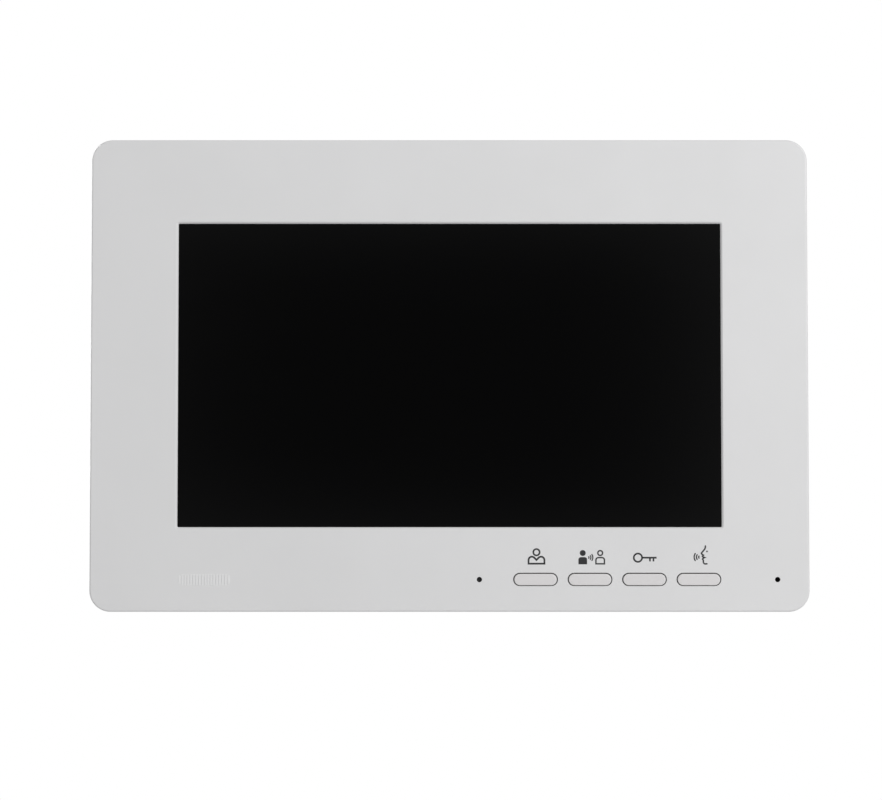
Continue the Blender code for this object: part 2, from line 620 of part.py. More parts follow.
def speaker():
    """Racetrack loudspeaker behind the sound slots: foam ring, basket, cone and magnet."""
    centre = (SPEAKER_X, SPEAKER_Z)

    def track(width, height):
        return rounded(width * MM, height * MM, height * MM * 0.35, centre, 4)

    front = FACE_INNER + GAP
    outer = track(SPEAKER_WIDTH / MM, SPEAKER_HEIGHT / MM)
    opening = track(24.0, 9.6)
    finish(loft("speaker_gasket", [(opening, front), (outer, front), (outer, front + SHEET),
                                   (opening, front + SHEET)], ring=True), BLACK_FOAM)
    basket = front + SHEET + GAP
    finish(loft("speaker_frame", [
        (track(22.4, 8.6), basket + 3.2 * MM), (track(22.4, 8.6), basket), (outer, basket),
        (outer, basket + 0.8 * MM), (track(24.6, 10.6), basket + 0.8 * MM),
        (track(24.6, 10.6), basket + 4 * MM)]), BLACK_PLASTIC)
    cone = basket + GAP
    finish(loft("speaker_cone", [
        (track(6.0, 3.0), cone + 1.6 * MM), (track(21.6, 7.9), cone), (track(21.6, 7.9), cone + 0.4 * MM),
        (track(6.0, 3.0), cone + 2.1 * MM)]), BLACK_PLASTIC)
    magnet = basket + 4 * MM + GAP
    finish(prism("speaker_magnet", track(14.0, 8.6), magnet, magnet + 2.6 * MM), ZINC_STEEL)


def microphone():
    """Rubber boot with a sound channel behind the right-hand pinhole, and the capsule in it."""
    centre = (MICROPHONE_X, KEY_Z)
    front = FACE_INNER + GAP

    def hoop(radius):
        return circle(radius * MM, centre)

    finish(loft("microphone_boot", [
        (hoop(0.9), front), (hoop(4.4), front), (hoop(4.4), front + 3.6 * MM), (hoop(3.5), front + 3.6 * MM),
        (hoop(3.5), front + MM), (hoop(0.9), front + MM)], ring=True), BLACK_FOAM)
    finish(turned("microphone_capsule", centre, [(3.2 * MM, front + MM + GAP), (3.2 * MM, front + 3.6 * MM)]),
           ALUMINIUM)


def indicator():
    """Power lamp on the key board and the light pipe that leads to the left-hand pinhole."""
    centre = (LED_X, KEY_Z)
    tip = FRONT + MM + GAP
    flange = FACE_INNER + GAP
    collar = PIPE_RADIUS + 0.8 * MM
    finish(turned("led_light_pipe", centre, [
        (PIPE_RADIUS - 0.4 * MM, tip), (PIPE_RADIUS, tip + 0.4 * MM), (PIPE_RADIUS, flange), (collar, flange),
        (collar, flange + SHEET), (PIPE_RADIUS, flange + SHEET), (PIPE_RADIUS, -20.6 * MM)]), CLEAR)
    finish(turned("power_led", centre, [
        (0.8 * MM, -20.3 * MM), (1.3 * MM, -19.9 * MM), (1.5 * MM, -19.2 * MM), (1.5 * MM, -16.8 * MM),
        (1.9 * MM, -16.8 * MM), (1.9 * MM, BUTTON_BOARD_FRONT - GAP)]), LED_RED)


def thumbwheels():
    """Volume, brightness and colour wheels that stand out of the right-hand side, on their controls."""
    body_front = MAIN_BOARD_BACK + GAP
    body_back = WHEEL_FRONT - GAP
    for word, z in WHEELS:
        centre = (WHEEL_X, z * MM)
        points = []
        for index in range(2 * WHEEL_RIDGES):
            angle = math.pi * index / WHEEL_RIDGES
            radius = WHEEL_RADIUS - (WHEEL_RIDGE_DEPTH if index % 2 else 0.0)
            points.append((centre[0] + radius * math.cos(angle), centre[1] + radius * math.sin(angle)))
        wheel = prism(word + "_wheel", points, WHEEL_FRONT, WHEEL_BACK)
        shaft = post("shaft", centre, SHAFT_RADIUS, body_front + GAP, WHEEL_FRONT + MM)
        combine(wheel, [shaft], "UNION")
        set_origin(wheel, (centre[0], WHEEL_FRONT, centre[1]))
        finish(wheel, BLACK_PLASTIC)
        side = rounded(SWITCH_SIDE, SWITCH_SIDE, MM, centre, 1)
        case = prism(word + "_control", side, body_front, body_back)
        bore = post("bore", centre, SHAFT_RADIUS + GAP, body_front - MM, body_back + MM)
        finish(combine(case, [bore], "DIFFERENCE"), BLACK_PLASTIC)


def leads():
    """Flat leads from the screen, the key board and the loudspeaker to the main board."""
    finish(strip("lcd_ribbon", scaled([
        (-15.05, -46.0), (-15.05, -24.0), (-14.7, -21.5), (-13.8, -18.0), (-12.9, -14.0), (-12.65, -11.0),
        (-12.65, -4.0)]), GAP, -33 * MM, -7 * MM), FILM_BROWN)
    finish(strip("button_ribbon", scaled([
        (-13.45, -56.0), (-13.45, -52.0), (-13.2, -40.0), (-12.8, -26.0), (-12.65, -20.0), (-12.65, -12.0)]),
        GAP, 62 * MM, 72 * MM), FILM_BROWN)
    finish(strip("speaker_lead", scaled([
        (-16.8, -57.5), (-15.6, -57.0), (-14.7, -55.0), (-14.3, -50.0), (-14.2, -32.0), (-13.6, -24.0),
        (-13.1, -19.0), (-13.05, -10.0)]), MM, -60.5 * MM, -58.1 * MM), BLACK_PLASTIC)


def case_screws():
    for number, centre in enumerate(scaled(CASE_SCREWS), 1):
        screw(f"case_screw_{number}", centre, 2.8 * MM, 1.5 * MM, -2.9 * MM, -4.7 * MM, -14.0 * MM)


def rating_label():
    """Blank silver label on the back."""
    label = rounded(26 * MM, 34 * MM, MM, (-78 * MM, -8 * MM), 2)
    finish(prism("rating_label", label, REAR_OUTER + GAP, REAR_OUTER + 2 * GAP), LABEL_SILVER)


def main():
    for item in list(bpy.data.objects):
        bpy.data.objects.remove(item)
    wall_bracket()
    rear_cover()
    front_cover()
    screen()
    clamps()
    main_board()
    button_board()
    keys()
    speaker()
    microphone()
    indicator()
    thumbwheels()
    leads()
    case_screws()
    rating_label()


main()
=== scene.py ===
"""Looks of the video intercom monitor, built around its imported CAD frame.

Metres, +Z up, front towards -Y.  Every shape starts from the CAD nodes' boxes; MM turns millimetres
into metres.  Sections: shape tools, materials, the pieces from front to back, then stage and camera.
"""

import json
import math

import bmesh
import bpy
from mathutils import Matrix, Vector

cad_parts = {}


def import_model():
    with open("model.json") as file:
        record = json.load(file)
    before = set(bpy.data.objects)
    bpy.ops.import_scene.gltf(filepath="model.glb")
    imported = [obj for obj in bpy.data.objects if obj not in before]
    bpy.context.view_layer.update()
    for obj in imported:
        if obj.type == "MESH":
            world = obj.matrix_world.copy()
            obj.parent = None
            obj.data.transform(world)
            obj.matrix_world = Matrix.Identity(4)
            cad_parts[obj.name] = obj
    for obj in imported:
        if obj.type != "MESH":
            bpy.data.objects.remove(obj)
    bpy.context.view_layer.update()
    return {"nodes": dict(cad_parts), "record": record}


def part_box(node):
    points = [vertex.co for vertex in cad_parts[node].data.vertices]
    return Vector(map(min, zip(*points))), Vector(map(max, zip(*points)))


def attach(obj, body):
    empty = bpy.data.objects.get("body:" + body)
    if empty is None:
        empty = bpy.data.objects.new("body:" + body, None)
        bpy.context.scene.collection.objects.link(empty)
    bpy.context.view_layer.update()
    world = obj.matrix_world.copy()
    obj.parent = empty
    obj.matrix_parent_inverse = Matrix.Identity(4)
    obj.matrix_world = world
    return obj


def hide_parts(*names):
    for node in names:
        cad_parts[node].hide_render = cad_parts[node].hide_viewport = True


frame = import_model()

MM = 0.001

# Case, matching the CAD model
WINDOW = (155.2 * MM, 86.9 * MM)
LENS_REBATE = (162.0 * MM, 93.6 * MM)
BODY_CORNER = 6.0 * MM
WALL = 2.2 * MM
FLANGE = 1.8 * MM
CLEARANCE = 0.3 * MM
CAD_RIB_PROUD = 0.1 * MM

# Rear cover: size, planes, and the recess and pocket in it
REAR_WIDTH = 194.0 * MM
REAR_HEIGHT = 124.0 * MM
REAR_CORNER = 5.0 * MM
SHELL = 2.0 * MM
REAR_INNER = -3.6 * MM
REAR_OUTER = -1.6 * MM
RECESS_INNER = -5.6 * MM
RECESS_OUTER = -3.6 * MM
RECESS_HALF_WIDTH = 59.5 * MM
RECESS_LOW = -58.5 * MM
RECESS_HIGH = 42.5 * MM
POCKET_INNER = -13.4 * MM
POCKET_FLOOR = -11.6 * MM
POCKET_HALF_WIDTH = 36.0 * MM
POCKET_LOW = -52.2 * MM
POCKET_HIGH = -27.0 * MM
POCKET_WALL = 1.8 * MM
VENT_COUNT = 18
VENT_PITCH = 6.0 * MM
VENT_SIZE = (2.0 * MM, 9.0 * MM)
VENT_Z = 51.0 * MM
WHEEL_FRONT = -7.7 * MM
WHEEL_SLOT_REACH = 6.2 * MM
WHEEL_RIDGES = 40

# Bracket
PLATE = 1.2 * MM
HOOKS = [(x * MM, z * MM) for z in (26.0, -20.0) for x in (-46.0, 46.0)]
HOOK_HALF_WIDTH = 4.0 * MM
WALL_SLOT = (30.0 * MM, 6.0 * MM)
WALL_HOLES = ((30.0 * MM, 33.0 * MM), (46.0 * MM, -44.0 * MM))
WALL_HOLE_RADIUS = 2.2 * MM

# Screws of the case and the main board; screw posts, each with its radius and that of its bore
CASE_SCREWS = [f"case_screw_{number}" for number in range(1, 5)]
MAIN_SCREWS = [f"main_board_screw_{number}" for number in range(1, 5)]
CASE_POST = (3.5 * MM, 1.8 * MM)
CLAMP_POST = (3.2 * MM, 1.4 * MM)
BUTTON_POST = (2.4 * MM, 1.3 * MM)
MAIN_POST = (3.0 * MM, 1.4 * MM)

# Keys, wheels, headers and sound grille
KEYS = ("monitor", "intercom", "unlock", "talk")
KEY_WIDTH = 12.1 * MM
KEY_HEIGHT = 3.25 * MM
PINHOLE_RADIUS = 0.75 * MM
WHEELS = ("volume", "brightness", "colour")
HEADERS = ("door_1_header", "door_2_header", "extension_header", "power_header")
RIB_COUNT = 18
RIB_PITCH = 0.82 * MM
RIB_WIDTH = 0.61 * MM
RIB_PROUD = 0.05 * MM
SLOT_WIDTH = 0.03 * MM
GRILLE_WALL = 0.6 * MM
GRILLE_HEIGHT = 3.3 * MM
GRILLE_LENGTH = 15.1 * MM

# Light of the room from the front and the back, and how far along Y it turns from one to the other
ROOM_FRONT = 0.52
ROOM_REAR = 0.14
ROOM_TURN = 0.3
# Dim patch that the lens mirrors: its level, and per axis the centre, half width and rise
DIM_LEVEL = 0.05
DIM_PATCH = (("X", -0.008, 0.096, 0.045), ("Z", 0.06, 0.056, 0.06))

FRONT_LOW, FRONT_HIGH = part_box("front_cover")
REAR_LOW, REAR_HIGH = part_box("rear_cover")
FACE = FRONT_LOW.y + CAD_RIB_PROUD
FACE_INNER = FACE + WALL
BODY_WIDTH = FRONT_HIGH.x - FRONT_LOW.x
BODY_HEIGHT = FRONT_HIGH.z - FRONT_LOW.z
COVER_BACK = REAR_LOW.y + FLANGE


# ---------------------------------------------------------------- shape tools


def rounded(width, height, radius, centre=(0.0, 0.0), steps=12):
    """Outline of a rounded rectangle in X and Z; radius half of a side gives a round end or a circle."""
    points = []
    for corner in range(4):
        side_x = 1 if corner in (0, 3) else -1
        side_z = 1 if corner in (0, 1) else -1
        for step in range(steps + 1):
            angle = math.pi / 2 * (corner + step / steps)
            x = centre[0] + side_x * (width / 2 - radius) + radius * math.cos(angle)
            z = centre[1] + side_z * (height / 2 - radius) + radius * math.sin(angle)
            if not points or math.dist(points[-1], (x, z)) > 1e-7:
                points.append((x, z))
    if math.dist(points[0], points[-1]) < 1e-7:
        points.pop()
    return points


def circle(radius, centre, steps=10):
    return rounded(2 * radius, 2 * radius, radius, centre, steps)


def as_object(name, shape):
    """Turns a bmesh into a linked object with outward faces."""
    bmesh.ops.recalc_face_normals(shape, faces=shape.faces)
    mesh = bpy.data.meshes.new(name)
    shape.to_mesh(mesh)
    shape.free()
    item = bpy.data.objects.new(name, mesh)
    bpy.context.scene.collection.objects.link(item)
    return item


def loft(name, sections, ring=False):
    """Solid through (outline, y) sections with equal point counts, capped, or closed on itself as a ring."""
    shape = bmesh.new()
    loops = [[shape.verts.new((x, y, z)) for x, z in points] for points, y in sections]
    pairs = list(zip(loops, loops[1:]))
    if ring:
        pairs.append((loops[-1], loops[0]))
    else:
        shape.faces.new(loops[0])
        shape.faces.new(loops[-1])
    for first, second in pairs:
        for index in range(len(first)):
            after = (index + 1) % len(first)
            shape.faces.new((first[index], first[after], second[after], second[index]))
    return as_object(name, shape)


def prism(name, points, front, back):
    return loft(name, [(points, front), (points, back)])


def block(name, low, high):
    points = [(high[0], high[2]), (low[0], high[2]), (low[0], low[2]), (high[0], low[2])]
    return prism(name, points, low[1], high[1])


def turned(name, centre, profile, steps=10):
    """Solid of revolution about Y through centre; profile is (radius, y) from front to back."""
    return loft(name, [(circle(radius, centre, steps), y) for radius, y in profile])


def post(name, centre, radius, front, back):
    """Round post or bore along Y."""
    return turned(name, centre, [(radius, front), (radius, back)])


def combine(item, tools, operation):
    """Fuses the tools to item (UNION) or cuts them out of it (DIFFERENCE); the tools are used up."""
    for tool in tools:
        modifier = item.modifiers.new(tool.name, "BOOLEAN")
        modifier.operation = operation
        modifier.object = tool
    evaluated = item.evaluated_get(bpy.context.evaluated_depsgraph_get())
    mesh = bpy.data.meshes.new_from_object(evaluated)
    item.modifiers.clear()
    item.data = mesh
    for tool in tools:
        bpy.data.objects.remove(tool)
    return item


def smooth(item, degrees=32.0):
    """Smooth shading with sharp edges kept and flat faces kept flat."""
    item.data.shade_smooth()
    item.data.set_sharp_from_angle(angle=math.radians(degrees))
    keep = item.modifiers.new("flat_faces", "WEIGHTED_NORMAL")
    keep.keep_sharp = True
    return item


def piece(item, look, body, slot, *nodes):
    """Finishes a piece: one material, smooth shading, its body and the CAD nodes it stands for, which it
    hides; the slot argument is not used.
    """
    item.data.materials.clear()
    item.data.materials.append(look)
    smooth(item)
    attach(item, body)
    if nodes:
        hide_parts(*nodes)
    return item


def middle(node):
    """Centre of a CAD node in X and Z."""
    low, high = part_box(node)
    return (low.x + high.x) / 2, (low.z + high.z) / 2


def screw_places(*nodes):
    return [middle(node) for node in nodes]


# ---------------------------------------------------------------- materials


class Nodes:
    """Short way to build a Principled material from nodes."""

    def __init__(self, name, colour, roughness, metallic=0.0):
        self.material = bpy.data.materials.new(name)
        self.material.use_nodes = True
        self.tree = self.material.node_tree
        self.shader = self.tree.nodes["Principled BSDF"]
        self.colour = (*colour, 1.0)
        self.roughness = roughness
        self.shader.inputs["Metallic"].default_value = metallic
        self.place = self.tree.nodes.new("ShaderNodeTexCoord").outputs["Object"]

    def set(self, **values):
        for name, value in values.items():
            self.shader.inputs[name.replace("_", " ")].default_value = value
        return self

    def link(self, source, target):
        self.tree.links.new(source, target)

    def noise(self, size, detail=2.0, stretch=(1.0, 1.0, 1.0)):
        """Noise whose features measure size metres, drawn out along an axis by stretch."""
        mapping = self.tree.nodes.new("ShaderNodeMapping")
        mapping.inputs["Scale"].default_value = [1.0 / (size * factor) for factor in stretch]
        self.link(self.place, mapping.inputs["Vector"])
        noise = self.tree.nodes.new("ShaderNodeTexNoise")
        noise.inputs["Scale"].default_value = 1.0
        noise.inputs["Detail"].default_value = detail
        self.link(mapping.outputs["Vector"], noise.inputs["Vector"])
        return noise.outputs["Fac"]

    def spread(self, value, low, high, start=0.3, end=0.7):
        """Value between start and end becomes a number between low and high."""
        remap = self.tree.nodes.new("ShaderNodeMapRange")
        remap.inputs["From Min"].default_value = start
        remap.inputs["From Max"].default_value = end
        remap.inputs["To Min"].default_value = low
        remap.inputs["To Max"].default_value = high
        self.link(value, remap.inputs["Value"])
        return remap.outputs["Result"]

    def mix(self, factor, first, second):
        """Colour between first and second, each a colour or an output."""
        mixer = self.tree.nodes.new("ShaderNodeMix")
        mixer.data_type = "RGBA"
        self.link(factor, mixer.inputs["Factor"])
        for socket, value in (("A", first), ("B", second)):
            target = next(i for i in mixer.inputs if i.name == socket and i.type == "RGBA")
            if isinstance(value, tuple):
                target.default_value = value
            else:
                self.link(value, target)
        return next(o for o in mixer.outputs if o.type == "RGBA")

    def tint(self, amount, size, detail=2.0):
        """Slow variation of the base colour, darker and lighter by amount."""
        dark = tuple(c * (1 - amount) for c in self.colour[:3]) + (1.0,)
        light = tuple(min(1.0, c * (1 + amount)) for c in self.colour[:3]) + (1.0,)
        cloud = self.spread(self.noise(size, detail), 0.0, 1.0)
        self.link(self.mix(cloud, dark, light), self.shader.inputs["Base Color"])
        return self

    def gloss(self, amount, size, detail=3.0, stretch=(1.0, 1.0, 1.0)):
        """Variation of the roughness, up and down by amount."""
        low, high = max(0.0, self.roughness - amount), self.roughness + amount
        self.link(self.spread(self.noise(size, detail, stretch), low, high), self.shader.inputs["Roughness"])
        return self

    def grain(self, height, size, detail=2.0, stretch=(1.0, 1.0, 1.0)):
        """Fine relief of the moulded, cast or brushed surface; height in metres."""
        bump = self.tree.nodes.new("ShaderNodeBump")
        bump.inputs["Strength"].default_value = 1.0
        bump.inputs["Distance"].default_value = height
        self.link(self.noise(size, detail, stretch), bump.inputs["Height"])
        self.link(bump.outputs["Normal"], self.shader.inputs["Normal"])
        return self


def case_plastic(name, colour):
    """White ABS with the fine spark-eroded skin of the mould."""
    look = Nodes(name, colour, 0.38)
    return look.tint(0.012, 30 * MM).gloss(0.05, 9 * MM).grain(0.006 * MM, 0.22 * MM, 1.0).material


def moulded(name, colour, roughness, height=0.008):
    """Plain technical plastic: faint clouds, uneven gloss and a fine skin."""
    look = Nodes(name, colour, roughness)
    return look.tint(0.08, 4 * MM).gloss(0.08, 2.5 * MM).grain(height * MM, 0.18 * MM).material


def sheet_steel(name, colour, roughness):
    """Zinc-plated sheet: fine rolled streaks along X and a faint cloudy bloom."""
    look = Nodes(name, colour, roughness, metallic=1.0)
    look.tint(0.05, 5 * MM, 4.0)
    along = (30.0, 1.0, 1.0)
    return look.gloss(0.07, 0.25 * MM, 3.0, along).grain(0.002 * MM, 0.12 * MM, 2.0, along).material


def turned_metal(name, colour, roughness):
    look = Nodes(name, colour, roughness, metallic=1.0)
    return look.tint(0.08, 1.2 * MM).gloss(0.08, 0.8 * MM).grain(0.003 * MM, 0.08 * MM).material


def lens_plastic():
    """Smoked acrylic over the dark display: polished, with a trace of dust and wiping marks."""
    look = Nodes("smoked_acrylic", (0.0005, 0.0005, 0.0006), 0.035)
    look.set(IOR=1.49)
    specks = look.spread(look.noise(0.45 * MM, 0.0), 0.0, 1.0, 0.83, 0.86)
    dust = look.mix(specks, look.colour, (0.004, 0.004, 0.004, 1.0))
    look.link(dust, look.shader.inputs["Base Color"])
    return look.gloss(0.02, 14 * MM, 4.0, (3.0, 1.0, 1.0)).grain(0.0006 * MM, 6 * MM, 1.0).material


def display_surface():
    look = Nodes("display_surface", (0.004, 0.004, 0.005), 0.3)
    return look.tint(0.3, 12 * MM).gloss(0.05, 6 * MM).grain(0.001 * MM, 0.1 * MM).material


def circuit_board():
    """Green solder resist with raised copper tracks and tinned dots."""
    look = Nodes("circuit_board", (0.012, 0.12, 0.05), 0.35)
    cells = look.tree.nodes.new("ShaderNodeTexVoronoi")
    cells.feature = "DISTANCE_TO_EDGE"
    cells.inputs["Scale"].default_value = 1.0 / (3.2 * MM)
    look.link(look.place, cells.inputs["Vector"])
    tracks = look.spread(cells.outputs["Distance"], 1.0, 0.0, 0.03, 0.09)
    green = look.mix(tracks, look.colour, (0.03, 0.22, 0.09, 1.0))
    dots = look.tree.nodes.new("ShaderNodeTexVoronoi")
    dots.inputs["Scale"].default_value = 1.0 / (2.4 * MM)
    look.link(look.place, dots.inputs["Vector"])
    tinned = look.spread(dots.outputs["Distance"], 1.0, 0.0, 0.10, 0.14)
    look.link(look.mix(tinned, green, (0.55, 0.54, 0.5, 1.0)), look.shader.inputs["Base Color"])
    bump = look.tree.nodes.new("ShaderNodeBump")
    bump.inputs["Distance"].default_value = 0.035 * MM
    look.link(tracks, bump.inputs["Height"])
    look.link(bump.outputs["Normal"], look.shader.inputs["Normal"])
    return look.gloss(0.08, 3 * MM).material


def foam(name):
    look = Nodes(name, (0.018, 0.018, 0.018), 0.9)
    return look.tint(0.3, 0.8 * MM).gloss(0.08, 1.0 * MM).grain(0.08 * MM, 0.3 * MM, 4.0).material


def film(name, colour):
    look = Nodes(name, colour, 0.3)
    look.tint(0.12, 3 * MM).gloss(0.08, 5 * MM)
    return look.grain(0.01 * MM, 0.6 * MM, 1.0, (1.0, 1.0, 12.0)).material


def label_film():
    """Matt silver label film with a fine even grain."""
    look = Nodes("silver_label", (0.52, 0.53, 0.54), 0.48, metallic=0.3)
    return look.tint(0.01, 12 * MM).gloss(0.02, 6 * MM).grain(0.002 * MM, 0.25 * MM).material


def clear_plastic(name, colour):
    look = Nodes(name, colour, 0.12)
    look.set(Transmission_Weight=0.8, IOR=1.49)
    return look.tint(0.04, 2 * MM).gloss(0.04, 1 * MM).grain(0.004 * MM, 0.5 * MM).material


CASE_WHITE = case_plastic("case_white", (0.80, 0.80, 0.805))
# Lighter copy of the case white for the grille ribs: a painted highlight, not a different plastic
RIB_PAINTED_HIGHLIGHT_WHITE = case_plastic("rib_painted_highlight_white", (0.855, 0.855, 0.86))
KEY_WHITE = case_plastic("key_white", (0.775, 0.760, 0.763))
INK = moulded("printing_ink", (0.018, 0.018, 0.020), 0.6, 0.004)
LENS = lens_plastic()
DISPLAY = display_surface()
ZINC = sheet_steel("zinc_sheet", (0.62, 0.62, 0.61), 0.36)
SCREW = turned_metal("zinc_screw", (0.60, 0.60, 0.58), 0.3)
ALUMINIUM = turned_metal("aluminium_can", (0.70, 0.70, 0.71), 0.32)
BOARD = circuit_board()
BLACK = moulded("black_plastic", (0.022, 0.022, 0.023), 0.48)
NYLON = moulded("natural_nylon", (0.72, 0.70, 0.64), 0.45)
FOAM = foam("black_foam")
LAMP = clear_plastic("red_lamp", (0.55, 0.03, 0.02))
CLEAR = clear_plastic("smoked_pipe", (0.10, 0.10, 0.105))
FILM = film("polyimide_film", (0.35, 0.19, 0.05))
LABEL = label_film()


# ---------------------------------------------------------------- front cover


def outline(inset):
    return rounded(BODY_WIDTH - 2 * inset, BODY_HEIGHT - 2 * inset, BODY_CORNER - inset, steps=20)


def flared(name, points_at, depth, flare):
    """Cutter of a hole with a rounded mouth, from the face inwards; points_at(extra) is its outline."""
    sections = [(points_at(flare * 2.2), FACE - flare), (points_at(flare), FACE)]
    for step in range(1, 4):
        angle = math.pi / 2 * step / 3
        sections.append((points_at(flare * (1 - math.sin(angle))), FACE + flare * (1 - math.cos(angle))))
    sections.append((points_at(0.0), FACE + depth))
    return loft(name, sections)


def key_hole(centre):
    """Hole in which the cap rests a little low and to the right, so those sides have the finer gap."""
    right, low = 0.04 * MM, 0.08 * MM
    width, height = KEY_WIDTH + 2 * CLEARANCE + right, KEY_HEIGHT + 2 * CLEARANCE - low
    place = (centre[0] - right / 2, centre[1] + low / 2)

    def points(extra):
        return rounded(width + 2 * extra, height + 2 * extra, height / 2 + extra, place, 10)

    return flared("key_hole", points, WALL + MM, 0.07 * MM)


def pinhole(centre):
    def points(extra):
        return circle(PINHOLE_RADIUS + extra, centre, 8)

    return flared("pinhole", points, WALL + MM, 0.06 * MM)


def grille_height(offset):
    """Height of the sound grille at a distance from its middle; its ends are round."""
    end_radius = GRILLE_HEIGHT / 2
    straight = GRILLE_LENGTH / 2 - end_radius
    return 2 * math.sqrt(end_radius ** 2 - max(0.0, abs(offset) - straight) ** 2)


def sound_ribs():
    """Upright ribs with softened edges that stand a little proud of the face, in a lighter copy of the case
    white: a painted highlight on the ribs.
    """
    centre = middle("speaker_frame")
    shape = bmesh.new()
    for index in range(RIB_COUNT):
        offset = (index - (RIB_COUNT - 1) / 2) * RIB_PITCH
        place = (centre[0] + offset, centre[1])
        tall = grille_height(offset)
        sections = []
        for inset, y in ((0.07, -1.0), (0.03, -0.8), (0.0, -0.4), (0.0, 0.5)):
            edge = inset * MM
            points = rounded(RIB_WIDTH - 2 * edge, tall - 2 * edge, 0.2 * MM - edge, place, 4)
            sections.append((points, FACE + y * RIB_PROUD))
        rib = loft("sound_rib", sections)
        shape.from_mesh(rib.data)
        bpy.data.objects.remove(rib)
    piece(as_object("sound_ribs", shape), RIB_PAINTED_HIGHLIGHT_WHITE, "housing", "case_white")


def sound_slots():
    """Cutters of the hairline slots between the ribs."""
    centre = middle("speaker_frame")
    cutters = []
    for index in range(RIB_COUNT - 1):
        offset = (index - (RIB_COUNT - 2) / 2) * RIB_PITCH
        x = centre[0] + offset
        half = grille_height(offset) / 2 - 0.3 * MM
        cutters.append(block("sound_slot", (x - SLOT_WIDTH / 2, FACE - MM, centre[1] - half),
                             (x + SLOT_WIDTH / 2, FACE + 2 * GRILLE_WALL, centre[1] + half)))
    return cutters


def front_cover():
    """Face with window, key holes, pinholes and grille slots; rounded edge, side walls and screw posts."""
    edge = 0.5 * MM
    sections = []
    for step in range(7):
        angle = math.pi / 2 * step / 6
        sections.append((outline(edge * (1 - math.sin(angle))), FACE + edge * (1 - math.cos(angle))))
    easing = 0.25 * MM
    inner_corner = BODY_CORNER - WALL
    inner = rounded(BODY_WIDTH - 2 * WALL, BODY_HEIGHT - 2 * WALL, inner_corner, steps=20)
    sections += [(outline(0.0), COVER_BACK - easing), (outline(easing), COVER_BACK),
                 (inner, COVER_BACK), (inner, FACE_INNER)]
    cover = loft("case_front", sections)

    sunk = FACE_INNER - 0.4 * MM
    # Centres, radii of post and bore, end of the post, and both ends of the bore
    screws = (
        (screw_places(*CASE_SCREWS), CASE_POST, -8.3 * MM, (-14.6 * MM, -7.0 * MM)),
        (screw_places("lcd_clamp_screw_left", "lcd_clamp_screw_right"), CLAMP_POST,
         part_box("lcd_frame")[1].y, (-19.2 * MM, -14.0 * MM)),
        (screw_places("button_board_screw_1", "button_board_screw_2"), BUTTON_POST,
         -15.8 * MM, (-20.5 * MM, -15.0 * MM)),
    )
    posts = [post("screw_post", centre, outer, sunk, end)
             for centres, (outer, _bore), end, _depths in screws for centre in centres]
    combine(cover, posts, "UNION")

    ahead, within = FACE - MM, FACE_INNER + MM
    chamfer = 0.5 * MM
    ease = 0.06 * MM
    corner = 0.3 * MM

    def window(extra):
        return rounded(WINDOW[0] + 2 * extra, WINDOW[1] + 2 * extra, corner + extra, steps=5)

    cuts = [loft("window", [
        (window(chamfer + 1.2 * MM), ahead), (window(chamfer + 0.08 * MM), FACE),
        (window(chamfer - ease), FACE + ease), (window(ease), FACE + chamfer - ease),
        (window(0.0), FACE + chamfer + 0.08 * MM), (window(0.0), within)])]
    cuts.append(prism("lens_rebate", rounded(*LENS_REBATE, 0.5 * MM, steps=2), FACE + 0.9 * MM, within))
    cuts += [key_hole(middle(word + "_button")) for word in KEYS]
    channels = (("led_light_pipe", 0.8 * MM, 2.1 * MM), ("microphone_boot", 0.6 * MM, 1.2 * MM))
    for node, lip, radius in channels:
        cuts.append(pinhole(middle(node)))
        cuts.append(post("pinhole_channel", middle(node), radius, FACE + lip, within))
    chamber = rounded(GRILLE_LENGTH + 2.4 * MM, GRILLE_HEIGHT + 2.3 * MM, MM, middle("speaker_frame"), 3)
    cuts.append(prism("sound_chamber", chamber, FACE + GRILLE_WALL, within))
    cuts += sound_slots()
    cuts += [post("screw_bore", centre, bore, *depths)
             for centres, (_outer, bore), _end, depths in screws for centre in centres]
    combine(cover, cuts, "DIFFERENCE")
    piece(cover, CASE_WHITE, "housing", "case_white", "front_cover")


def keys():
    """Flat-topped caps with round ends, softened edges and a flange behind the face."""
    crown, rise, edge = 0.02 * MM, 0.14 * MM, 0.25 * MM
    within_box = 0.001 * MM
    for word in KEYS:
        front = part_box(word + "_button")[0].y + within_box
        centre = middle(word + "_button")
        flange = FACE_INNER + CLEARANCE

        def cap(extra):
            return rounded(KEY_WIDTH + 2 * extra, KEY_HEIGHT + 2 * extra, KEY_HEIGHT / 2 + extra, centre, 12)

        stem = rounded(3.02 * MM, 3.0 * MM, 1.5 * MM, centre, 12)
        sections = [(cap(-0.8 * MM), front), (cap(-0.5 * MM), front + crown / 4), (cap(-edge), front + crown)]
        for step in range(1, 6):
            angle = math.pi / 2 * step / 5
            depth = crown + rise * (1 - math.cos(angle))
            sections.append((cap(-edge + edge * math.sin(angle)), front + depth))
        sections += [(cap(0.0), flange), (cap(0.9 * MM), flange), (cap(0.9 * MM), flange + MM),
                     (stem, flange + MM), (stem, flange + 2.1 * MM)]
        piece(loft(word + "_key_cap", sections), KEY_WHITE, word + "_key", "key_white", word + "_button")


# ---------------------------------------------------------------- printed pictograms

INK_FRONT = FACE - 0.02 * MM
INK_BACK = FACE + 0.01 * MM


def arc(centre, radius, start, end, steps=10):
    """Points on an arc, angles in degrees."""
    points = []
    for step in range(steps + 1):
        angle = math.radians(start + (end - start) * step / steps)
        points.append((centre[0] + radius * math.cos(angle), centre[1] + radius * math.sin(angle)))
    return points


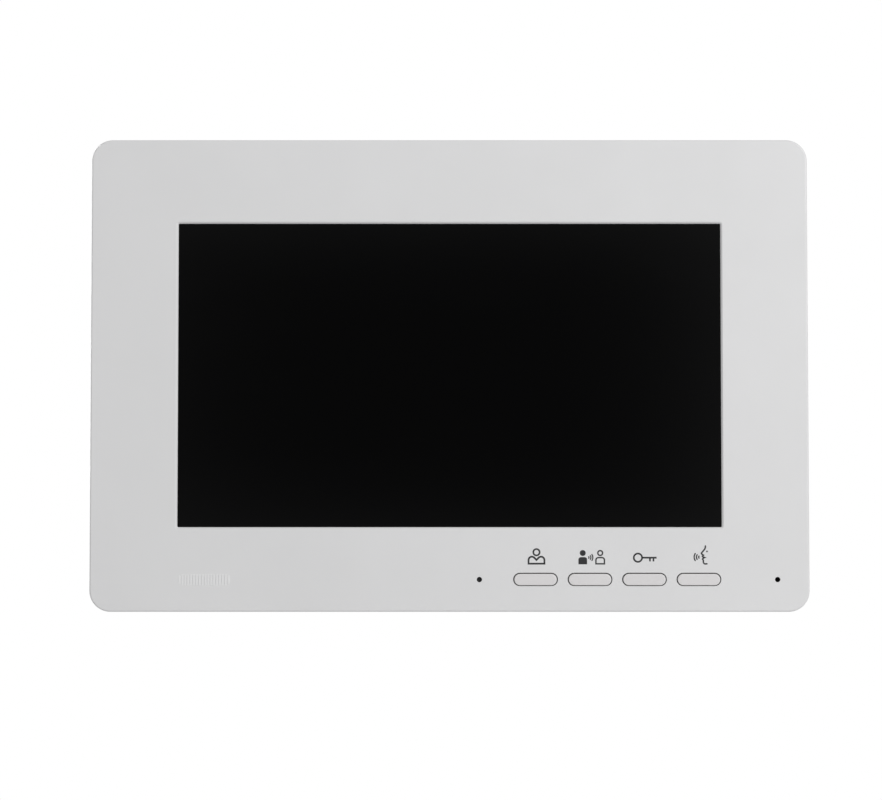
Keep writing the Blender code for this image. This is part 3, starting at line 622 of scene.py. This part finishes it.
def offset_line(points, distance, closed):
    """The line moved sideways by distance, with mitred corners."""
    count = len(points)
    moved = []
    for index, point in enumerate(points):
        before = points[index - 1] if closed or index else point
        after = points[(index + 1) % count] if closed or index < count - 1 else point
        normals = []
        for start, end in ((before, point), (point, after)):
            run = math.dist(start, end)
            if run > 1e-9:
                normals.append(Vector(((end[1] - start[1]) / run, (start[0] - end[0]) / run)))
        normal = sum(normals, Vector((0.0, 0.0))).normalized()
        reach = distance / max(0.35, normal.dot(normals[0]))
        moved.append((point[0] + normal.x * reach, point[1] + normal.y * reach))
    return moved


class Print:
    """One pictogram: ink shapes in millimetres about a point on the face, joined into one piece."""

    def __init__(self, name, origin):
        self.name = name
        self.origin = origin
        self.shape = bmesh.new()

    def place(self, points, y):
        left, low = self.origin
        return [self.shape.verts.new((left + x * MM, y, low + z * MM)) for x, z in points]

    def walls(self, first, second):
        for index in range(len(first)):
            after = (index + 1) % len(first)
            self.shape.faces.new((first[index], first[after], second[after], second[index]))

    def patch(self, points):
        """Filled outline."""
        front, back = self.place(points, INK_FRONT), self.place(points, INK_BACK)
        self.shape.faces.new(front)
        self.shape.faces.new(back[::-1])
        self.walls(front, back)

    def band(self, outside, inside):
        """Filled strip between two closed outlines with equal point counts."""
        loops = [self.place(outside, INK_FRONT), self.place(outside, INK_BACK),
                 self.place(inside, INK_BACK), self.place(inside, INK_FRONT)]
        for index in range(4):
            self.walls(loops[index], loops[(index + 1) % 4])

    def line(self, points, width, closed=False):
        """Line of even width with round ends, or a closed line."""
        outside = offset_line(points, width / 2, closed)
        inside = offset_line(points, -width / 2, closed)
        if closed:
            self.band(outside, inside)
            return
        last, first = points[-1], points[0]
        turn = math.degrees(math.atan2(outside[-1][1] - last[1], outside[-1][0] - last[0]))
        end_cap = arc(last, width / 2, turn, turn + 180, 6)[1:-1]
        turn = math.degrees(math.atan2(inside[0][1] - first[1], inside[0][0] - first[0]))
        start_cap = arc(first, width / 2, turn, turn + 180, 6)[1:-1]
        front_outline = outside + end_cap + inside[::-1] + start_cap
        self.strip(outside, inside, end_cap, start_cap, front_outline)

    def strip(self, outside, inside, end_cap, start_cap, whole):
        """Quads along the line, round ends, and the wall round it all."""
        fronts = {}
        backs = {}
        for point in whole:
            fronts[point] = self.place([point], INK_FRONT)[0]
            backs[point] = self.place([point], INK_BACK)[0]
        for index in range(len(outside) - 1):
            quad = (outside[index], outside[index + 1], inside[index + 1], inside[index])
            self.shape.faces.new([fronts[p] for p in quad])
            self.shape.faces.new([backs[p] for p in quad[::-1]])
        for cap in ([outside[-1], *end_cap, inside[-1]], [inside[0], *start_cap, outside[0]]):
            self.shape.faces.new([fronts[p] for p in cap])
            self.shape.faces.new([backs[p] for p in cap[::-1]])
        for index, point in enumerate(whole):
            after = whole[(index + 1) % len(whole)]
            self.shape.faces.new((fronts[point], fronts[after], backs[after], backs[point]))

    def done(self):
        piece(as_object(self.name, self.shape), INK, "housing", "plastic_black")


def pictogram_origin(word):
    """Point above a key from which its pictogram is drawn."""
    x, z = middle(word + "_button")
    return x, z + 6.5 * MM


def draw_monitor():
    """Head and shoulders in outline: look at the visitor."""
    drawing = Print("print_monitor", pictogram_origin("monitor"))
    middle_x, floor, half = 0.26, -1.98, 2.26
    drawing.line(arc((middle_x, 1.27), 0.9, 0, 351, 39), 0.46, closed=True)
    reach, radius = 1.3, 0.96
    left = arc((middle_x - reach, -0.96), radius, 180, 50, 14)
    right = arc((middle_x + reach, -0.96), radius, 130, 0, 14)
    drawing.line([(middle_x - half, floor), *left, (middle_x, -0.92), *right, (middle_x + half, floor)],
                 0.5, closed=True)
    drawing.done()


def draw_intercom():
    """A filled figure calling an outlined one: talk between two stations."""
    drawing = Print("print_intercom", pictogram_origin("intercom"))
    floor, top = -2.16, -0.12
    drawing.patch(arc((-2.07, 1.05), 0.84, 0, 350, 35))
    drawing.patch([(-3.3, floor), (-0.84, floor), *arc((-1.54, top - 0.7), 0.7, 0, 90, 7),
                   *arc((-2.6, top - 0.7), 0.7, 90, 180, 7)])
    for radius in (0.4, 0.95, 1.5):
        drawing.line(arc((-0.7, -0.22), radius, -34, 34, 8), 0.33)
    drawing.line(arc((2.9, 1.05), 0.68, 0, 350, 35), 0.4, closed=True)
    drawing.line([(1.68, floor + 0.14), (4.1, floor + 0.14), *arc((3.4, top - 0.84), 0.7, 0, 90, 7),
                  *arc((2.38, top - 0.84), 0.7, 90, 180, 7)], 0.4, closed=True)
    drawing.done()


def draw_unlock():
    """Key: open the door."""
    drawing = Print("print_unlock", pictogram_origin("unlock"))
    drawing.line(arc((-1.86, -0.28), 1.18, 0, 351, 39), 0.48, closed=True)
    drawing.patch([(-0.72, -0.52), (3.45, -0.52), (3.45, -0.04), (-0.72, -0.04)])
    for x in (1.56, 2.56):
        drawing.patch([(x - 0.23, -1.33), (x + 0.23, -1.33), (x + 0.23, -0.51), (x - 0.23, -0.51)])
    drawing.done()


def draw_talk():
    """A plain speaking profile with sound waves: answer."""
    drawing = Print("print_talk", pictogram_origin("talk"))
    forehead = [(1.86, 3.05), (1.84, 2.6), (1.66, 2.16), (1.3, 1.72)]
    nose = [(0.74, 1.06), (0.72, 0.9), (0.96, 0.66), (1.3, 0.42)]
    lips = [(1.0, 0.14), (1.2, -0.1), (1.62, -0.24), (1.2, -0.44), (1.04, -0.7), (1.22, -0.98)]
    chin = arc((1.9, -1.42), 0.66, 165, 262, 7)
    drawing.line([*forehead, *nose, *lips, *chin, (2.26, -2.0)], 0.42)
    drawing.patch(arc((2.3, 1.5), 0.24, 0, 330, 11))
    for radius in (0.5, 1.15, 1.8):
        drawing.line(arc((0.45, -0.1), radius, 146, 214, 8), 0.37)
    drawing.done()


# ---------------------------------------------------------------- screen


def screen_lens():
    """Lens plate with a fine polished bevel round its front."""
    low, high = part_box("screen_lens")
    width, height = high.x - low.x, high.z - low.z
    bevel, corner = 0.12 * MM, 0.5 * MM
    sections = []
    for step in range(4):
        angle = math.pi / 2 * step / 3
        inset = bevel * (1 - math.sin(angle))
        eased = rounded(width - 2 * inset, height - 2 * inset, corner - inset, steps=4)
        sections.append((eased, low.y + bevel * (1 - math.cos(angle))))
    sections.append((rounded(width, height, corner, steps=4), high.y))
    piece(loft("lens", sections), LENS, "housing", "lens_black", "screen_lens")


def microphone_shade_felt():
    """Black felt disc on the front of the microphone capsule, behind its pinhole, put there so the pinhole
    looks dark: painted shade in the hole.
    """
    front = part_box("microphone_capsule")[0].y
    disc = [(3.0 * MM, front - 0.25 * MM), (3.0 * MM, front - 0.02 * MM)]
    piece(turned("microphone_shade_felt", middle("microphone_capsule"), disc), FOAM, "housing", "foam_black")


# ---------------------------------------------------------------- rear cover, bracket and their details


def rear_shell():
    """Open shell of the rear cover: flange, walls and a rim with a rounded edge."""
    inner = rounded(REAR_WIDTH - 2 * SHELL, REAR_HEIGHT - 2 * SHELL, REAR_CORNER - SHELL)
    play = WALL + CLEARANCE
    flange = rounded(BODY_WIDTH - 2 * play, BODY_HEIGHT - 2 * play, BODY_CORNER - play)
    outer = rounded(REAR_WIDTH, REAR_HEIGHT, REAR_CORNER)
    sections = [(inner, REAR_INNER), (inner, REAR_LOW.y), (flange, REAR_LOW.y), (flange, COVER_BACK),
                (outer, COVER_BACK)]
    edge = 0.9 * MM
    for step in range(6):
        angle = math.pi / 2 * step / 5
        inset = edge * (1 - math.cos(angle))
        eased = rounded(REAR_WIDTH - 2 * inset, REAR_HEIGHT - 2 * inset, REAR_CORNER - inset)
        sections.append((eased, REAR_HIGH.y - edge + edge * math.sin(angle)))
    sections += [(inner, REAR_HIGH.y), (inner, REAR_OUTER)]
    return loft("case_rear", sections)


def rear_cover():
    """Rear shell with bracket recess, terminal pocket, hook slots, vents, wheel slots and screw posts."""
    cover = rear_shell()
    embed = REAR_INNER + MM
    side = RECESS_HALF_WIDTH + SHELL
    pocket_side = POCKET_HALF_WIDTH + POCKET_WALL
    blocks = [
        block("recess_block", (-side, RECESS_INNER, RECESS_LOW - SHELL), (side, embed, RECESS_HIGH + SHELL)),
        block("pocket_block", (-pocket_side, POCKET_INNER, POCKET_LOW - POCKET_WALL),
              (pocket_side, embed, POCKET_HIGH + POCKET_WALL))]
    case_places = screw_places(*CASE_SCREWS)
    main_places = screw_places(*MAIN_SCREWS)
    blocks += [post("screw_pad", centre, 5.0 * MM, -8.0 * MM, embed) for centre in case_places]
    post_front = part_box("main_board")[1].y + CLEARANCE
    blocks += [post("board_post", centre, MAIN_POST[0], post_front, embed) for centre in main_places]
    combine(cover, blocks, "UNION")

    behind = MM
    soft = 0.25 * MM
    recess_height = RECESS_HIGH - RECESS_LOW
    recess_middle = (0.0, (RECESS_LOW + RECESS_HIGH) / 2)

    def recess(extra):
        return rounded(2 * RECESS_HALF_WIDTH + 2 * extra, recess_height + 2 * extra, 1.5 * MM + extra,
                       recess_middle, 5)

    cuts = [loft("recess", [(recess(0.0), RECESS_OUTER), (recess(0.0), REAR_OUTER - soft),
                            (recess(soft), REAR_OUTER), (recess(soft * 2), behind)])]
    pocket_middle = (0.0, (POCKET_LOW + POCKET_HIGH) / 2)
    pocket = rounded(2 * POCKET_HALF_WIDTH, POCKET_HIGH - POCKET_LOW, MM, pocket_middle, 5)
    cuts.append(prism("pocket", pocket, POCKET_FLOOR, behind))
    for node in HEADERS:
        low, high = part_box(node)
        cuts.append(block(node + "_window", (low.x - CLEARANCE, low.y - CLEARANCE, POCKET_HIGH - MM),
                          (high.x + CLEARANCE, RECESS_INNER + 0.2 * MM, POCKET_HIGH + POCKET_WALL + MM)))
    for x, top in HOOKS:
        slot = rounded(2 * HOOK_HALF_WIDTH + MM, 8.3 * MM, 0.6 * MM, (x, top - 3.85 * MM), 4)
        cuts.append(prism("hook_slot", slot, RECESS_INNER - MM, behind))
    hole, sink, seat = CASE_POST[1], 3.2 * MM, -5.0 * MM
    for centre in case_places:
        cuts.append(turned("screw_hole", centre, [
            (hole, -9.0 * MM), (hole, seat), (sink, seat), (sink, REAR_OUTER - soft),
            (sink + soft, REAR_OUTER), (sink + 2 * soft, behind)]))
    cuts += [post("board_bore", centre, MAIN_POST[1], -11.0 * MM, -6.6 * MM) for centre in main_places]
    for word in WHEELS:
        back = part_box(word + "_wheel")[1].y + CLEARANCE
        z = middle(word + "_wheel")[1]
        cuts.append(block(
            word + "_slot", (REAR_WIDTH / 2 - 4 * MM, WHEEL_FRONT - CLEARANCE, z - WHEEL_SLOT_REACH),
            (REAR_WIDTH / 2 + 2 * MM, back, z + WHEEL_SLOT_REACH)))
    for index in range(VENT_COUNT):
        place = ((index - (VENT_COUNT - 1) / 2) * VENT_PITCH, VENT_Z)

        def vent(extra):
            width, height = VENT_SIZE[0] + 2 * extra, VENT_SIZE[1] + 2 * extra
            return rounded(width, height, width / 2, place, 5)

        cuts.append(loft("vent", [(vent(0.0), -5.0 * MM), (vent(0.0), REAR_OUTER - soft),
                                  (vent(soft), REAR_OUTER), (vent(2 * soft), behind)]))
    combine(cover, cuts, "DIFFERENCE")
    piece(cover, CASE_WHITE, "housing", "case_white", "rear_cover")


def slab(name, profile, x_low, x_high):
    """Solid drawn out along X from a profile of (y, z) points."""
    shape = bmesh.new()
    low = [shape.verts.new((x_low, y, z)) for y, z in profile]
    high = [shape.verts.new((x_high, y, z)) for y, z in profile]
    shape.faces.new(low)
    shape.faces.new(high)
    for index in range(len(profile)):
        after = (index + 1) % len(profile)
        shape.faces.new((low[index], low[after], high[after], high[index]))
    return as_object(name, shape)


def wall_bracket():
    """Pressed steel plate with deburred edges and four hooks folded forwards and up."""
    low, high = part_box("wall_bracket")
    width, height = high.x - low.x, high.z - low.z
    centre = (0.0, (high.z + low.z) / 2)
    ease = 0.15 * MM

    def plate_outline(inset):
        return rounded(width - 2 * inset, height - 2 * inset, 5.0 * MM - inset, centre, 8)

    plate = loft("bracket", [(plate_outline(ease), -PLATE), (plate_outline(0.0), -PLATE + ease),
                             (plate_outline(0.0), -ease), (plate_outline(ease), 0.0)])
    bend_inside = 0.3 * MM
    bend_outside = bend_inside + PLATE
    hooks = []
    for x, top in HOOKS:
        turn = (low.y + bend_outside, top + bend_inside)
        tip = top + 5.0 * MM
        inner = low.y + PLATE
        profile = [(-PLATE / 2, top - PLATE), *arc(turn, bend_outside, 270, 180, 6),
                   (low.y, tip - 0.4 * MM), (low.y + 0.4 * MM, tip), (inner - 0.2 * MM, tip),
                   (inner, tip - 0.2 * MM), *arc(turn, bend_inside, 180, 270, 4), (-PLATE / 2, top)]
        hooks.append(slab("hook", profile, x - HOOK_HALF_WIDTH, x + HOOK_HALF_WIDTH))
    combine(plate, hooks, "UNION")

    front, back = -2 * PLATE, PLATE
    cuts = []
    for x, top in HOOKS:
        window = rounded(2 * HOOK_HALF_WIDTH + 0.6 * MM, 9.0 * MM, 0.5 * MM, (x, top + 4.5 * MM), 4)
        cuts.append(prism("tongue_window", window, front, back))
    cable = rounded(60.0 * MM, 21.0 * MM, 3.0 * MM, (0.0, -38.0 * MM), 8)
    cuts.append(prism("cable_opening", cable, front, back))
    for side in (-1, 1):
        place = (side * WALL_SLOT[0], WALL_SLOT[1])
        slot = rounded(9.0 * MM, 2 * WALL_HOLE_RADIUS, WALL_HOLE_RADIUS, place)
        cuts.append(prism("wall_slot", slot, front, back))
        for x, z in WALL_HOLES:
            cuts.append(prism("wall_hole", circle(WALL_HOLE_RADIUS, (side * x, z)), front, back))
    piece(combine(plate, cuts, "DIFFERENCE"), ZINC, "bracket", "steel_zinc", "wall_bracket")


def case_screws():
    """Pan-head screws with a cross recess."""
    shank, head, dome = 1.5 * MM, 2.8 * MM, 0.9 * MM
    corners = ((1, 1), (-1, 1), (-1, -1), (1, -1))
    for node in CASE_SCREWS:
        x, z = middle(node)
        front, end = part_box(node)[0].y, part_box(node)[1].y
        seat = end - 2 * dome
        profile = [(0.3 * shank, front), (shank, front + 0.9 * MM), (shank, seat), (head, seat),
                   (head, end - dome)]
        for degrees in range(15, 76, 15):
            angle = math.radians(degrees)
            profile.append((head - dome + dome * math.cos(angle), end - dome + dome * math.sin(angle)))
        profile.append((head - dome, end))
        item = turned(node + "_head", (x, z), profile, 8)
        recess = []
        for half_x, half_z in ((1.5 * MM, 0.3 * MM), (0.3 * MM, 1.5 * MM)):
            wide = [(x + side * half_x, z + up * half_z) for side, up in corners]
            narrow = [(x + side * half_x / 2, z + up * half_z / 2) for side, up in corners]
            recess.append(loft("recess", [(narrow, end - 1.1 * MM), (wide, end), (wide, end + MM)]))
        combine(item, recess, "DIFFERENCE")
        piece(item, SCREW, "housing", "screw_steel", node)


def thumbwheels():
    """Knurled wheels with bevelled rims on their shafts."""
    bevel, rim_inset, groove = 0.35 * MM, 0.4 * MM, 0.3 * MM
    count = 4 * WHEEL_RIDGES
    for word in WHEELS:
        node = word + "_wheel"
        low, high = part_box(node)
        centre = middle(node)
        radius = (high.x - low.x) / 2

        def knurl(inset, depth):
            points = []
            for index in range(count):
                angle = 2 * math.pi * index / count
                here = radius - inset - (depth if index % 4 in (2, 3) else 0.0)
                points.append((centre[0] + here * math.cos(angle), centre[1] + here * math.sin(angle)))
            return points

        wheel = loft(word + "_knurled_wheel", [
            (knurl(rim_inset, 0.0), WHEEL_FRONT), (knurl(0.0, groove), WHEEL_FRONT + bevel),
            (knurl(0.0, groove), high.y - bevel), (knurl(rim_inset, 0.0), high.y)])
        shaft = post("shaft", centre, 1.5 * MM, low.y, WHEEL_FRONT + MM)
        combine(wheel, [shaft], "UNION")
        piece(wheel, BLACK, word + "_dial", "plastic_black", node)


def carry_over():
    """CAD nodes whose shape is right keep it and get their material."""
    looks = {
        "steel_zinc": ZINC, "screw_steel": SCREW, "aluminium_can": ALUMINIUM, "board_green": BOARD,
        "plastic_black": BLACK, "nylon_white": NYLON, "foam_black": FOAM, "lamp_red": LAMP,
        "clear_pipe": CLEAR, "film_brown": FILM, "label_silver": LABEL, "case_white": CASE_WHITE,
        "key_white": KEY_WHITE, "lens_black": LENS, "display_glass": DISPLAY,
    }
    for row in frame["record"]["subparts"]:
        item = frame["nodes"][row["node"]]
        item.data.materials.clear()
        item.data.materials.append(looks[row["material_slot"]])


# ---------------------------------------------------------------- stage and camera


def maths(tree, operation, first, second):
    """Maths node on two numbers or outputs; returns its output."""
    node = tree.nodes.new("ShaderNodeMath")
    node.operation = operation
    for socket, value in zip(node.inputs, (first, second)):
        if isinstance(value, (int, float)):
            socket.default_value = value
        else:
            tree.links.new(value, socket)
    return node.outputs[0]


def world():
    """White background; as light a soft room in front, dim behind, and dimmer where the lens mirrors it."""
    scene = bpy.context.scene
    scene.world = bpy.data.worlds.new("studio")
    scene.world.use_nodes = True
    tree = scene.world.node_tree
    background = tree.nodes["Background"]
    direction = tree.nodes.new("ShaderNodeTexCoord").outputs["Generated"]
    seen = tree.nodes.new("ShaderNodeLightPath").outputs["Is Camera Ray"]
    axes = tree.nodes.new("ShaderNodeSeparateXYZ")
    tree.links.new(direction, axes.inputs["Vector"])
    room = tree.nodes.new("ShaderNodeMapRange")
    room.interpolation_type = "SMOOTHSTEP"
    tree.links.new(axes.outputs["Y"], room.inputs["Value"])
    levels = {"From Min": -ROOM_TURN, "From Max": ROOM_TURN, "To Min": ROOM_FRONT, "To Max": ROOM_REAR}
    for socket, value in levels.items():
        room.inputs[socket].default_value = value
    patch = DIM_LEVEL
    for axis, centre, reach, rise in DIM_PATCH:
        away = maths(tree, "DIVIDE", maths(tree, "SUBTRACT", axes.outputs[axis], centre), reach)
        steep = maths(tree, "MULTIPLY", maths(tree, "POWER", maths(tree, "ABSOLUTE", away, 0.0), 4.0), rise)
        patch = maths(tree, "ADD", steep, patch)
    rear = maths(tree, "GREATER_THAN", axes.outputs["Y"], 0.0)
    light = maths(tree, "MINIMUM", maths(tree, "ADD", patch, rear), room.outputs["Result"])
    tree.links.new(maths(tree, "MAXIMUM", light, seen), background.inputs["Strength"])
    background.inputs["Color"].default_value = (1.0, 1.0, 1.0, 1.0)
    scene.view_settings.view_transform = "Standard"


def lamp(name, place, width, height, power):
    """Soft box that faces the monitor."""
    data = bpy.data.lights.new(name, "AREA")
    data.shape = "RECTANGLE"
    data.size = width
    data.size_y = height
    data.energy = power
    item = bpy.data.objects.new(name, data)
    item.location = place
    item.rotation_euler = (-Vector(place)).to_track_quat("-Z", "Y").to_euler()
    item.visible_camera = False
    bpy.context.scene.collection.objects.link(item)


def lights():
    lamp("soft_box_right", (0.63, -0.83, 0.33), 0.55, 0.55, 5.2)
    lamp("soft_box_rear", (-0.75, 1.1, 0.35), 0.5, 0.7, 9.0)


def floor():
    """Pale floor below the hanging monitor; it fades out towards its rim."""
    radius = 1.15
    shape = bmesh.new()
    bmesh.ops.create_circle(shape, cap_ends=True, segments=96, radius=radius)
    item = as_object("pale_floor", shape)
    item.location = (0.0, 0.0, -0.38)
    look = Nodes("pale_floor", (0.74, 0.74, 0.74), 0.7).tint(0.01, 80 * MM)
    reach = look.tree.nodes.new("ShaderNodeVectorMath")
    reach.operation = "LENGTH"
    look.link(look.place, reach.inputs[0])
    fade = look.spread(reach.outputs["Value"], 1.0, 0.0, 0.45 * radius, radius)
    look.link(fade, look.shader.inputs["Alpha"])
    item.data.materials.append(look.material)


def camera():
    """Level with the lower part of the case, looking up at it by three degrees."""
    distance = 0.8
    pitch = math.radians(3.0)
    target = Vector((-2.42 * MM, FACE, -7.18 * MM))
    data = bpy.data.cameras.new("camera")
    data.sensor_width = 36.0
    data.lens = 114.37
    data.clip_start = 0.01
    item = bpy.data.objects.new("camera", data)
    item.location = target - distance * Vector((0.0, math.cos(pitch), math.sin(pitch)))
    item.rotation_euler = (math.pi / 2 + pitch, 0.0, 0.0)
    bpy.context.scene.collection.objects.link(item)
    bpy.context.scene.camera = item


carry_over()
front_cover()
sound_ribs()
keys()
draw_monitor()
draw_intercom()
draw_unlock()
draw_talk()
screen_lens()
microphone_shade_felt()
rear_cover()
wall_bracket()
case_screws()
thumbwheels()
world()
lights()
floor()
camera()
